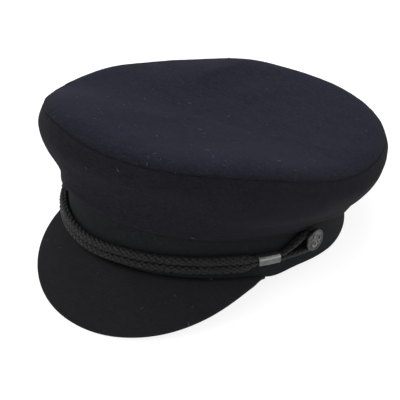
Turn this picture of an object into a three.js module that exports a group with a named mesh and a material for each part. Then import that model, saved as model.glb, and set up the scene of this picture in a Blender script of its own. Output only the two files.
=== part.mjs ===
import * as THREE from "three";

// A breton fisherman cap that stands on the edge of its peak and the back of its band.
// Sizes are millimetres and z is up, with the peak towards minus y.
// Angles run around the head in degrees from the front towards the wearer's left.

// Band around the head, with its lower edge lifted in front
const bandHalfWidth = 86.5;
const bandHalfLength = 106;
const bandWall = 3;
const bandHeight = 42;
const bandRound = 0.8;
const frontLift = 31.7;
const liftEndAngle = 133.9;
const liftBend = 1.18;
const edgeDip = 2;
const edgeDipAngle = 67;
const edgeDipWide = 7;

// Crown, the cloth bag above the band
const clothWall = 1.6;
const seamHalfWidth = 111.6;
const seamFront = 105.7;
const seamBack = 135.9;
const seamFrontHeight = 108.7;
const seamBackHeight = 50.5;
const seamBackPoint = 1.033;
const hemDrop = 1;
const foldTurn = 2.4;

// Peak under the front of the band
const peakWidth = 44.6;
const peakHalfAngle = 63.6;
const peakDrop = 3;
const peakEnd = 0.985;
const peakThickness = 3.2;
const peakCentreSlope = 40.6;
const peakCornerSlope = 18.7;
const peakWidthBend = 2.02;
const peakTipBend = 0.69;
const peakArch = 1;

// Cord, sliders and buttons
const cordDiameter = 5.2;
const cordSides = 8;
const loopUp = 19.4;
const loopRadius = 5.9;
const loopHeight = 4.2;
const squeezedHeight = 2.5;
const squeezedDepth = 4.2;
const sliderAngle = 62.2;
const sliderHalfAngle = 4.4;
const sliderUp = 14;
const sliderWall = 0.6;
const buttonAngle = 81.6;
const buttonUp = 21.3;
const buttonDiameter = 15;
const buttonShankDiameter = 3;
const buttonDiscDepth = 2.6;
const buttonRimWidth = 1.3;
const buttonRimHeight = 0.6;

// Gap kept between two pieces
const clearance = 0.35;

const ringSegments = 72;
const radians = Math.PI / 180;

// Side of the crown: up is above the band's lower edge, out is from the band's outer face
const sideSections = [
  { angle: 0, foldUp: 34.5, foldOut: 4.6, lowUp: 43, lowOut: 4.4, midUp: 56, midOut: 3.4, bulgeUp: 69, bulgeOut: 4.6 },
  { angle: 30, foldUp: 32.1, foldOut: 4.6, lowUp: 43, lowOut: 4.6, midUp: 55, midOut: 7.2, bulgeUp: 70, bulgeOut: 11.9 },
  { angle: 60, foldUp: 29.7, foldOut: 4.8, lowUp: 40, lowOut: 6.5, midUp: 51, midOut: 17.1, bulgeUp: 67, bulgeOut: 20.4 },
  { angle: 90, foldUp: 26, foldOut: 4.8, lowUp: 35, lowOut: 9.5, midUp: 45, midOut: 19, bulgeUp: 58, bulgeOut: 27 },
  { angle: 120, foldUp: 14.3, foldOut: 4.6, lowUp: 25, lowOut: 9.7, midUp: 37, midOut: 20.5, bulgeUp: 53.2, bulgeOut: 27 },
  { angle: 150, foldUp: 11, foldOut: 4.6, lowUp: 20, lowOut: 11.2, midUp: 31, midOut: 21.7, bulgeUp: 44, bulgeOut: 30.9 },
  { angle: 180, foldUp: 10, foldOut: 4.6, lowUp: 18, lowOut: 12, midUp: 29, midOut: 23.5, bulgeUp: 42, bulgeOut: 32.5 },
];

// Rings of the top: share of the way out to the seam, rise above the seam
const topRings = [
  { share: 0.988, rise: 2.2 },
  { share: 0.962, rise: 4.5 },
  { share: 0.925, rise: 6.3 },
  { share: 0.86, rise: 7.6 },
  { share: 0.74, rise: 8.2 },
  { share: 0.56, rise: 7.8 },
  { share: 0.34, rise: 7.2 },
];
const topCentreRise = 7;

// Soft humps and hollows of the top: place, half sizes and height
const topHumps = [
  { x: -26, y: 112, wide: 30, long: 26, height: 2.7 },
  { x: -46, y: 64, wide: 22, long: 38, height: 4.3 },
  { x: -78, y: 58, wide: 36, long: 40, height: 0.6 },
  { x: -4, y: 68, wide: 9, long: 24, height: 1.4 },
  { x: 92, y: 68, wide: 34, long: 54, height: -0.7 },
  { x: -100, y: -14, wide: 26, long: 26, height: -2.6 },
];

// Places where the lower fold is pulled up towards the top of the band
const foldLifts = [
  { angle: -22, wide: 15, height: 4 },
];

// Folds of the side: angle, share of the way up, their half sizes and height
const sideFolds = [
  { angle: 62, share: 0.56, wide: 26, tall: 0.09, height: 1.8 },
  { angle: 64, share: 0.42, wide: 30, tall: 0.09, height: -1.6 },
  { angle: -22, share: 0.5, wide: 14, tall: 0.1, height: 0.8 },
  { angle: -10, share: 0.66, wide: 16, tall: 0.1, height: -1.6 },
  { angle: 205, share: 0.55, wide: 18, tall: 0.14, height: -2 },
];

// Two strands of the cord across the front, above the band's lower edge
const strandHeights = [
  { angle: -57, lower: 9.7, upper: 15.3 },
  { angle: -45, lower: 9.1, upper: 14.7 },
  { angle: -35, lower: 8.1, upper: 13.7 },
  { angle: -25, lower: 6.4, upper: 12 },
  { angle: -15, lower: 5.5, upper: 11.1 },
  { angle: -5, lower: 6.1, upper: 11.8 },
  { angle: 5, lower: 7.2, upper: 13.1 },
  { angle: 15, lower: 8, upper: 14 },
  { angle: 25, lower: 8.5, upper: 14.7 },
  { angle: 40, lower: 9.2, upper: 15.5 },
  { angle: 50, lower: 9.6, upper: 15.8 },
  { angle: 57, lower: 10.3, upper: 15.9 },
];

function material(colour, roughness, metalness) {
  return new THREE.MeshStandardMaterial({ color: colour, roughness: roughness, metalness: metalness });
}

const topCloth = material("#2b2b38", 0.95, 0);
const sideCloth = material("#212126", 0.95, 0);
const peakCloth = material("#202023", 0.95, 0);
const cordYarn = material("#2a2a2b", 0.85, 0);
const pewter = material("#9a9890", 0.35, 1);

function mix(a, b, share) {
  return a + (b - a) * share;
}

function smooth(share) {
  const s = Math.min(Math.max(share, 0), 1);
  return s * s * (3 - 2 * s);
}

function bell(distance) {
  return Math.exp(-distance * distance);
}

function turnBetween(a, b) {
  return Math.abs(((a - b + 540) % 360) - 180);
}

// Outer face of the band at an angle, moved outwards and up
function bandPoint(angle, out, height) {
  const t = angle * radians;
  const outward = bandNormal(angle);
  return new THREE.Vector3(
    bandHalfWidth * Math.sin(t) + outward.x * out,
    -bandHalfLength * Math.cos(t) + outward.y * out,
    height,
  );
}

function bandNormal(angle) {
  const t = angle * radians;
  return new THREE.Vector3(Math.sin(t) / bandHalfWidth, -Math.cos(t) / bandHalfLength, 0).normalize();
}

function liftAt(angle) {
  const end = Math.cos(liftEndAngle * radians);
  const share = Math.max(0, (Math.cos(angle * radians) - end) / (1 - end));
  return frontLift * share ** liftBend;
}

// Lower edge of the band, which dips on both sides where the peak ends
function edgeAt(angle) {
  return liftAt(angle) - edgeDip * bell((turnBetween(angle, 0) - edgeDipAngle) / edgeDipWide);
}

function ringAngles() {
  return Array.from({ length: ringSegments }, (_, i) => ((i + 0.5) * 360) / ringSegments);
}

// Value of one column at an angle, smooth from row to row and the same left and right
function sectionValue(column, angle) {
  const rows = sideSections.length - 1;
  const turned = turnBetween(angle, 0);
  const step = 180 / rows;
  const row = Math.min(Math.floor(turned / step), rows - 1);
  const u = turned / step - row;
  const at = (i) => sideSections[i < 0 ? -i : i > rows ? 2 * rows - i : i][column];
  const [a, b, c, d] = [at(row - 1), at(row), at(row + 1), at(row + 2)];
  return b + 0.5 * u * (c - a + u * (2 * a - 5 * b + 4 * c - d + u * (3 * (b - c) + d - a)));
}

// Turns a grid of points, joined at both ends of each row and column, into a solid
function closedGrid(loops) {
  const count = loops[0].length;
  const index = [];
  loops.forEach((_, i) => {
    const next = (i + 1) % loops.length;
    for (let j = 0; j < count; j += 1) {
      const k = (j + 1) % count;
      index.push(i * count + j, i * count + k, next * count + k);
      index.push(i * count + j, next * count + k, next * count + j);
    }
  });
  return solidFrom(loops.flat(), index);
}

// Turns a row of closed loops into a solid with a fan of triangles on each end
function cappedGrid(loops, firstTip, lastTip) {
  const count = loops[0].length;
  const index = [];
  for (let i = 0; i + 1 < loops.length; i += 1) {
    for (let j = 0; j < count; j += 1) {
      const k = (j + 1) % count;
      index.push(i * count + j, i * count + k, (i + 1) * count + k);
      index.push(i * count + j, (i + 1) * count + k, (i + 1) * count + j);
    }
  }
  const tips = loops.length * count;
  for (let j = 0; j < count; j += 1) {
    const k = (j + 1) % count;
    index.push(tips, k, j);
    index.push(tips + 1, tips - count + j, tips - count + k);
  }
  return solidFrom([...loops.flat(), firstTip, lastTip], index);
}

function solidFrom(points, index) {
  const geometry = new THREE.BufferGeometry();
  geometry.setAttribute("position", new THREE.Float32BufferAttribute(points.flatMap((p) => [p.x, p.y, p.z]), 3));
  geometry.setIndex(index);
  return geometry;
}

function middleOf(points) {
  const sum = points.reduce((total, p) => total.add(p), new THREE.Vector3());
  return sum.divideScalar(points.length);
}

function makeBand() {
  const section = [
    { out: 0, up: bandRound },
    { out: 0, up: bandHeight - bandRound },
    { out: -bandRound, up: bandHeight },
    { out: bandRound - bandWall, up: bandHeight },
    { out: -bandWall, up: bandHeight - bandRound },
    { out: -bandWall, up: bandRound },
    { out: bandRound - bandWall, up: 0 },
    { out: -bandRound, up: 0 },
  ];
  const height = (angle, up) => mix(edgeAt(angle), liftAt(angle) + bandHeight, up / bandHeight);
  const loops = section.map((p) => ringAngles().map((angle) => bandPoint(angle, p.out, height(angle, p.up))));
  return closedGrid(loops);
}

// Points on the outer face of the side from its hidden hem to the top seam
function sideProfile(angle) {
  const lift = liftAt(angle);
  const value = (column) => sectionValue(column, angle);
  const at = (out, up) => bandPoint(angle, out, lift + up);
  const raised = foldLifts.map((l) => l.height * bell(turnBetween(angle, l.angle) / l.wide));
  const fold = raised.reduce((sum, height) => sum + height, value("foldUp"));
  const out = value("foldOut");
  return [
    at(clearance, bandHeight - hemDrop),
    at(clearance, fold + foldTurn + 1),
    at(mix(clearance, out, 0.5), fold),
    at(out, fold + foldTurn),
    at(value("lowOut"), value("lowUp")),
    at(value("midOut"), value("midUp")),
    at(value("bulgeOut"), value("bulgeUp")),
    seamPoint(angle),
  ];
}

function seamPoint(angle) {
  const t = angle * radians;
  const back = Math.max(0, -Math.cos(t)) ** seamBackPoint;
  const height = mix(seamBackHeight, seamFrontHeight, (1 + Math.cos(t)) / 2);
  const y = seamBack * back - seamFront * Math.max(0, Math.cos(t));
  return new THREE.Vector3(seamHalfWidth * Math.sin(t), y, height);
}

function topCentre() {
  return new THREE.Vector3(0, 0, mix(seamBackHeight, seamFrontHeight, 0.5));
}

function topPoint(angle, share, rise) {
  const point = topCentre().lerp(seamPoint(angle), share);
  point.z += rise;
  topHumps.forEach((hump) => {
    point.z += hump.height * bell((point.x - hump.x) / hump.wide) * bell((point.y - hump.y) / hump.long);
  });
  return point;
}

// Rows of the crown's outer face from the hem over the seam to the middle of the top
function crownRows() {
  const shares = [0, 1, 1.5, 2, 2.5, 3, 3.5, 4, 4.5, 5, 5.5, 6, 6.5, 7].map((row) => row / 7);
  const angles = ringAngles();
  const side = shares.map(() => []);
  angles.forEach((angle) => {
    const curve = new THREE.CatmullRomCurve3(sideProfile(angle), false, "centripetal");
    const outward = bandNormal(angle);
    shares.forEach((share, row) => {
      const point = curve.getPoint(share);
      sideFolds.forEach((fold) => {
        const near = bell(turnBetween(angle, fold.angle) / fold.wide) * bell((share - fold.share) / fold.tall);
        point.addScaledVector(outward, fold.height * near * smooth((share - 0.42) / 0.1 + 1));
      });
      side[row].push(point);
    });
  });
  const top = topRings.map((ring) => angles.map((angle) => topPoint(angle, ring.share, ring.rise)));
  return { side: side, top: top };
}

// Splits the crown at its seam and gives both halves the cloth's thickness
function makeCrown() {
  const { side, top } = crownRows();
  const seam = side.pop();
  const below = seam.map((p, j) => p.clone().lerp(side.at(-1)[j], clearance / 2 / p.distanceTo(side.at(-1)[j])));
  const above = seam.map((p, j) => p.clone().lerp(top[0][j], clearance / 2 / p.distanceTo(top[0][j])));
  const centre = topPoint(0, 0, topCentreRise);
  const rows = [...side, below, above, ...top, seam.map(() => centre)];
  const inner = rows.map((row, i) => row.map((point, j) => {
    const low = i === side.length + 1 ? i - 2 : Math.max(i - 1, 0);
    const high = i === side.length ? i + 2 : Math.min(i + 1, rows.length - 1);
    const along = rows[high][j].clone().sub(rows[low][j]);
    const next = row[(j + 1) % row.length];
    const last = row[(j + row.length - 1) % row.length];
    const normal = next.clone().sub(last).cross(along).normalize();
    return point.clone().addScaledVector(normal, -clothWall);
  }));
  const split = side.length + 1;
  const sideLoops = [...rows.slice(0, split), ...inner.slice(0, split).reverse()];
  const topOuter = rows.slice(split, -1);
  const topInner = inner.slice(split, -1);
  const under = centre.clone();
  under.z -= clothWall;
  const topLoops = [...topInner.reverse(), ...topOuter];
  return { side: closedGrid(sideLoops), top: cappedGrid(topLoops, under, centre) };
}

// Cross section of the peak, from the band outwards below and back above
function peakLoop(u) {
  const angle = u * peakHalfAngle;
  const width = peakWidth * (1 - Math.abs(u) ** peakWidthBend) ** (1 / peakTipBend);
  const slope = mix(peakCentreSlope, peakCornerSlope, u * u) * radians;
  const along = (share, up) => {
    const reach = width * share;
    const arch = peakArch * Math.sin(Math.PI * share) * Math.min(1, width / peakWidth * 2);
    const out = clearance + reach * Math.cos(slope) + (up + arch) * Math.sin(slope);
    const height = edgeAt(angle) - peakDrop - reach * Math.sin(slope) + (up + arch) * Math.cos(slope);
    return bandPoint(angle, out, height);
  };
  const edge = 1 - Math.min(0.3, 1 / width);
  const shares = [0.25, 0.5, 0.75, edge];
  const sewn = edgeAt(angle) - peakDrop;
  return [
    bandPoint(angle, clearance, sewn),
    ...shares.map((share) => along(share, 0)),
    along(1, peakThickness * 0.35),
    along(1, peakThickness * 0.65),
    ...shares.reverse().map((share) => along(share, peakThickness)),
    bandPoint(angle, clearance, sewn + peakThickness / Math.cos(slope)),
  ];
}

function makePeak() {
  const steps = 30;
  const ease = (i) => Math.sin((i / steps - 0.5) * Math.PI) * peakEnd;
  const loops = Array.from({ length: steps + 1 }, (_, i) => peakLoop(ease(i)));
  loops.reverse();
  return cappedGrid(loops, middleOf(loops[0]), middleOf(loops.at(-1)));
}

// Height of a strand above the band's lower edge
function strandUp(angle, strand) {
  const rows = strandHeights;
  const clamped = Math.min(Math.max(angle, rows[0].angle), rows.at(-1).angle);
  const row = Math.max(0, rows.findIndex((r) => r.angle >= clamped) - 1);
  const [from, to] = [rows[row], rows[row + 1]];
  const share = smooth((clamped - from.angle) / (to.angle - from.angle));
  return mix(from[strand], to[strand], share);
}

// One closed line: along the front, round one button's shank, back and round the other
function cordStations() {
  const pinchUp = (squeezedHeight + clearance) / 2;
  const pinchOut = clearance + sliderWall + clearance + squeezedDepth / 2;
  const sliderStart = sliderAngle - sliderHalfAngle;
  const sliderEnd = sliderAngle + sliderHalfAngle;
  const strand = (angle, sign) => {
    const far = Math.abs(angle);
    const squeeze = smooth((far - sliderStart + 6) / 5.5);
    const spread = smooth((far - sliderEnd) / (buttonAngle - sliderEnd));
    const pinched = mix(strandUp(angle, sign > 0 ? "upper" : "lower"), sliderUp + sign * pinchUp, squeeze);
    return {
      angle: angle,
      up: mix(pinched, loopUp + sign * loopRadius, spread),
      out: mix(clearance + cordDiameter / 2, pinchOut, squeeze),
      tall: mix(mix(cordDiameter, squeezedHeight, squeeze), loopHeight, spread),
      deep: mix(mix(cordDiameter, squeezedDepth, squeeze), cordDiameter * 0.95, smooth(spread * 2)),
    };
  };
  const loop = (side) => Array.from({ length: 7 }, (_, i) => {
    const turn = ((i + 0.5) / 7) * Math.PI;
    const reach = (loopRadius * Math.sin(turn)) / (bandHalfLength * radians);
    const up = loopUp + side * loopRadius * Math.cos(turn);
    return { ...strand(side * buttonAngle, 1), angle: side * (buttonAngle + reach), up: up };
  });
  const front = Array.from({ length: 27 }, (_, i) => mix(-1, 1, i / 26) * (sliderStart - 7));
  const beside = Array.from({ length: 17 }, (_, i) => mix(sliderStart - 7, buttonAngle, (i + 1) / 17));
  const marks = [...beside.map((angle) => -angle).reverse(), ...front, ...beside];
  const upper = marks.map((angle) => strand(angle, 1));
  const lower = marks.map((angle) => strand(-angle, -1));
  return [...upper, ...loop(1), ...lower, ...loop(-1)];
}

function stationPoint(station) {
  return bandPoint(station.angle, station.out, liftAt(station.angle) + station.up);
}

function makeCord() {
  const stations = cordStations();
  const centres = stations.map(stationPoint);
  const loops = stations.map((station, i) => {
    const along = centres[(i + 1) % centres.length].clone().sub(centres.at(i - 1)).normalize();
    const outward = bandNormal(station.angle);
    outward.addScaledVector(along, -outward.dot(along)).normalize();
    const across = along.clone().cross(outward);
    return Array.from({ length: cordSides }, (_, j) => {
      const turn = ((j + 0.5) * 2 * Math.PI) / cordSides;
      return centres[i].clone()
        .addScaledVector(outward, (station.deep / 2) * Math.cos(turn))
        .addScaledVector(across, (station.tall / 2) * Math.sin(turn));
    });
  });
  return closedGrid(loops);
}

// Flattened metal sleeve around both strands
function makeSlider(side) {
  const halfTall = squeezedHeight + clearance * 1.5;
  const halfDeep = squeezedDepth / 2 + clearance;
  const sides = 16;
  const ring = (step, grow) => {
    const angle = side * sliderAngle + step * sliderHalfAngle;
    const outward = bandNormal(angle);
    const centre = bandPoint(angle, clearance + sliderWall + halfDeep, liftAt(angle) + sliderUp);
    const bend = (v) => Math.sign(v) * Math.abs(v) ** 0.6;
    return Array.from({ length: sides }, (_, j) => {
      const turn = ((j + 0.5) * 2 * Math.PI) / sides;
      return centre.clone()
        .addScaledVector(outward, (halfDeep + grow) * bend(Math.cos(turn)))
        .add(new THREE.Vector3(0, 0, (halfTall + grow) * bend(Math.sin(turn))));
    });
  };
  const steps = [-1, -0.5, 0, 0.5, 1];
  const outer = steps.map((step) => ring(step, sliderWall)).reverse();
  const hollow = steps.map((step) => ring(step, 0));
  return closedGrid([...outer, ...hollow]);
}

// Turned button with a raised rim, its shank reaching back to the band
function makeButton(side) {
  const discBack = clearance + cordDiameter + 0.9;
  const face = discBack + buttonDiscDepth;
  const radius = buttonDiameter / 2;
  const shank = buttonShankDiameter / 2;
  const profile = [
    { r: shank, out: clearance },
    { r: shank, out: discBack },
    { r: radius * 0.85, out: discBack },
    { r: radius, out: discBack + buttonDiscDepth * 0.4 },
    { r: radius, out: face - buttonRimHeight * 0.5 },
    { r: radius - buttonRimWidth * 0.5, out: face + buttonRimHeight * 0.5 },
    { r: radius - buttonRimWidth, out: face - buttonRimHeight * 0.5 },
    { r: radius * 0.45, out: face },
  ];
  const angle = side * buttonAngle;
  const height = liftAt(angle) + buttonUp;
  const outward = bandNormal(angle);
  const across = new THREE.Vector3(0, 0, 1).cross(outward);
  const sides = 20;
  const centre = (out) => bandPoint(angle, out, height);
  const loops = profile.map((p) => Array.from({ length: sides }, (_, j) => {
    const turn = (j * 2 * Math.PI) / sides;
    return centre(p.out)
      .addScaledVector(across, p.r * Math.cos(turn))
      .add(new THREE.Vector3(0, 0, p.r * Math.sin(turn)));
  }));
  return cappedGrid(loops, centre(clearance), centre(face + 0.1));
}

const cap = new THREE.Group();
cap.name = "breton_fisherman_cap";

function addPiece(name, geometry, look) {
  const mesh = new THREE.Mesh(geometry, look);
  mesh.name = name;
  cap.add(mesh);
}

const crown = makeCrown();
addPiece("crown_top", crown.top, topCloth);
addPiece("crown_side", crown.side, sideCloth);
addPiece("band", makeBand(), sideCloth);
addPiece("peak", makePeak(), peakCloth);
addPiece("cord", makeCord(), cordYarn);
addPiece("slider_left", makeSlider(1), pewter);
addPiece("slider_right", makeSlider(-1), pewter);
addPiece("button_left", makeButton(1), pewter);
addPiece("button_right", makeButton(-1), pewter);

// The middle of the cap's underside is the origin
const box = new THREE.Box3().setFromObject(cap);
const middle = box.getCenter(new THREE.Vector3());
cap.children.forEach((mesh) => mesh.geometry.translate(-middle.x, -middle.y, -box.min.z));

export default cap;
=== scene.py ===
import math

import bpy
import numpy as np
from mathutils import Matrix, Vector, noise


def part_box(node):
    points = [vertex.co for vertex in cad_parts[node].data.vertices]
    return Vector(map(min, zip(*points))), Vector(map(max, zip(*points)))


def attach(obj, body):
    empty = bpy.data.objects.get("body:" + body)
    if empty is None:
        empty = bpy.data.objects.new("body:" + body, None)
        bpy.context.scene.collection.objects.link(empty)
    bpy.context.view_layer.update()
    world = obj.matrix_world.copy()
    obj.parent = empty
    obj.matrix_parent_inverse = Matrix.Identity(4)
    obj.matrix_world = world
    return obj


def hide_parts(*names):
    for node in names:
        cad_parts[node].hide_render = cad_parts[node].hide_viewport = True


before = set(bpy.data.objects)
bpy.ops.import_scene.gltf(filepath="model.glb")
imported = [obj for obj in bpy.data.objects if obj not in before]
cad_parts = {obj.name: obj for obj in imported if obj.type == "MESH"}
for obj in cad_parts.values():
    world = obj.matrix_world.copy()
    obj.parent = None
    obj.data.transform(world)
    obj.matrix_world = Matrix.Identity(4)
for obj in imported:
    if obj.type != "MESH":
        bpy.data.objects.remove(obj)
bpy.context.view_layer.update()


# ---- View, floor and light
# The cap stands on a plain white studio floor, seen from its front left and above.
# A broad soft light hangs over it and another stands in front, with weaker ones on both sides.
band_low, band_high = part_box("band")
cap_middle = np.array([(band_low.x + band_high.x) / 2, (band_low.y + band_high.y) / 2, 0])

scene = bpy.context.scene
view_turn = math.radians(33.992)
view_rise = math.radians(33.876)
view_distance = 1.4745
towards_view = Vector((
    math.sin(view_turn) * math.cos(view_rise),
    -math.cos(view_turn) * math.cos(view_rise),
    math.sin(view_rise),
))
view = bpy.data.cameras.new("view")
view.sensor_width = 36
view.lens = 194.8
view.shift_x = -0.0224
view.shift_y = 0.0692
view_stand = bpy.data.objects.new("view", view)
view_stand.location = Vector(cap_middle) + towards_view * view_distance
view_stand.rotation_euler = towards_view.to_track_quat("Z", "Y").to_euler()
scene.collection.objects.link(view_stand)
scene.camera = view_stand
scene.view_settings.view_transform = "Standard"


def new_material(name):
    material = bpy.data.materials.new(name)
    material.use_nodes = True
    tree = material.node_tree
    return material, tree, tree.nodes["Principled BSDF"]


def add_node(tree, kind, values=None, **settings):
    node = tree.nodes.new(kind)
    for key, value in settings.items():
        setattr(node, key, value)
    for key, value in (values or {}).items():
        node.inputs[key].default_value = value
    return node


def join(tree, source, output, target, entry):
    tree.links.new(source.outputs[output], target.inputs[entry])


def two_tones(tree, texture, tones):
    tint = add_node(tree, "ShaderNodeValToRGB")
    for element, (place, colour) in zip(tint.color_ramp.elements, tones.items()):
        element.position = place
        element.color = (*colour, 1)
    join(tree, texture, "Fac", tint, "Fac")
    return tint


floor_material, floor_tree, floor_shader = new_material("studio_floor")
floor_shader.inputs["Roughness"].default_value = 0.9
floor_shader.inputs["Specular IOR Level"].default_value = 0.1
floor_shader.inputs["Emission Color"].default_value = (1, 1, 1, 1)
floor_shader.inputs["Emission Strength"].default_value = 0.85
floor_cloud = add_node(floor_tree, "ShaderNodeTexNoise", {"Scale": 3, "Detail": 2})
floor_tint = two_tones(floor_tree, floor_cloud, {0: (0.3, 0.3, 0.3), 1: (0.33, 0.33, 0.33)})
join(floor_tree, floor_tint, "Color", floor_shader, "Base Color")
floor_mesh = bpy.data.meshes.new("floor")
floor_mesh.from_pydata([(-4, -4, 0), (4, -4, 0), (4, 4, 0), (-4, 4, 0)], [], [(0, 1, 2, 3)])
floor_mesh.materials.append(floor_material)
floor = bpy.data.objects.new("floor", floor_mesh)
scene.collection.objects.link(floor)


def add_light(name, place, size, power, colour):
    lamp = bpy.data.lights.new(name, "AREA")
    lamp.shape = "DISK"
    lamp.size = size
    lamp.energy = power
    lamp.color = colour
    stand = bpy.data.objects.new(name, lamp)
    stand.location = place
    stand.rotation_euler = Vector(place).to_track_quat("Z", "Y").to_euler()
    scene.collection.objects.link(stand)


add_light("light_above", (-0.4, 0.8, 2.0), 1.6, 22, (0.95, 0.97, 1))
add_light("light_front", (-0.1, -1.8, 1.4), 1.8, 19, (1, 1, 1))
add_light("light_left", (-1.7, -0.1, 0.8), 1.0, 9, (1, 1, 1))
add_light("light_right", (1.6, 1.2, 0.8), 1.0, 9, (1, 1, 1))
world = bpy.data.worlds.new("studio")
world.use_nodes = True
world.node_tree.nodes["Background"].inputs["Color"].default_value = (1, 1, 1, 1)
world.node_tree.nodes["Background"].inputs["Strength"].default_value = 0.5
scene.world = world


# ---- Band
# An upright oval band of dark wool cloth over a stiff strip, doubled at both edges.
# Its lower edge rises in front, where the peak is sewn under it. Sizes are millimetres.
band_half_width = 86.5
band_half_length = 106
band_wall = 3
band_height = 42
band_round = 0.8
band_edge_height = 3
band_wave_size = 22
band_wave_height = 0.25
turned_edge_up = 5
turned_edge_width = 1.6
turned_edge_depth = 0.25
front_lift = 31.7
lift_end_angle = 133.9
lift_bend = 1.18
edge_dips = [
    {"angle": 66, "wide": 8, "depth": 3.2},
    {"angle": 104, "wide": 20, "depth": 1.7},
]
ring_count = 540
ring_angles = (np.arange(ring_count) + 0.5) * 360 / ring_count


def band_normal(angle):
    turn = np.radians(angle)
    outward = np.stack([np.sin(turn) / band_half_width, -np.cos(turn) / band_half_length, 0 * turn], -1)
    return outward / np.linalg.norm(outward, axis=-1, keepdims=True)


def band_point(angle, out, height):
    turn = np.radians(angle)
    level = np.broadcast_to(height, turn.shape)
    face = np.stack([band_half_width * np.sin(turn), -band_half_length * np.cos(turn), level], -1)
    return face + band_normal(angle) * np.broadcast_to(out, turn.shape)[..., None]


def lift_at(angle):
    end = math.cos(math.radians(lift_end_angle))
    share = np.maximum(0, (np.cos(np.radians(angle)) - end) / (1 - end))
    return front_lift * share ** lift_bend


def bell(distance):
    return np.exp(-distance * distance)


def turn_between(first, second):
    return np.abs((np.asarray(first) - second + 540) % 360 - 180)


def edge_at(angle):
    edge = lift_at(angle)
    for dip in edge_dips:
        edge = edge - dip["depth"] * bell(turn_between(angle, dip["angle"]) / dip["wide"])
    return np.maximum(0, edge)


def soft_noise(points, size, seed):
    where = np.asarray(points).reshape(-1, 3) / size
    shift = Vector((seed * 7.3, seed * 3.1, seed * 5.7))
    values = [noise.noise(Vector(place) + shift) for place in where]
    return np.array(values).reshape(np.shape(points)[:-1])


def grid_faces(rows, columns, close_rows):
    here = np.arange(rows if close_rows else rows - 1)[:, None] * columns
    above = (np.arange(rows if close_rows else rows - 1)[:, None] + 1) % rows * columns
    near = np.arange(columns)[None, :]
    far = (near + 1) % columns
    return np.stack([here + near, here + far, above + far, above + near], -1).reshape(-1, 4).tolist()


def place_piece(name, mesh, nodes=()):
    piece = bpy.data.objects.new(name, mesh)
    scene.collection.objects.link(piece)
    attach(piece, "root")
    if nodes:
        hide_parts(*nodes)
    return piece


def add_piece(name, points, faces, material, nodes):
    mesh = bpy.data.meshes.new(name)
    mesh.from_pydata((np.asarray(points) / 1000 + cap_middle).tolist(), [], faces)
    mesh.shade_smooth()
    mesh.materials.append(material)
    return place_piece(name, mesh, nodes)


def new_group(name, kind, inputs, outputs):
    group = bpy.data.node_groups.new(name, kind)
    for way, sockets in (("INPUT", inputs), ("OUTPUT", outputs)):
        for socket, value in sockets.items():
            group.interface.new_socket(name=socket, in_out=way, socket_type=f"NodeSocket{value}")
    return group, add_node(group, "NodeGroupInput"), add_node(group, "NodeGroupOutput")


def maths_in(tree):
    def maths(operation, *values):
        node = add_node(tree, "ShaderNodeMath", operation=operation)
        for index, value in enumerate(values):
            if isinstance(value, (int, float)):
                node.inputs[index].default_value = value
            else:
                tree.links.new(value, node.inputs[index])
        return node.outputs[0]

    return maths


surface_outputs = {"Colour": "Color", "Roughness": "Float", "Normal": "Vector"}


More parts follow.
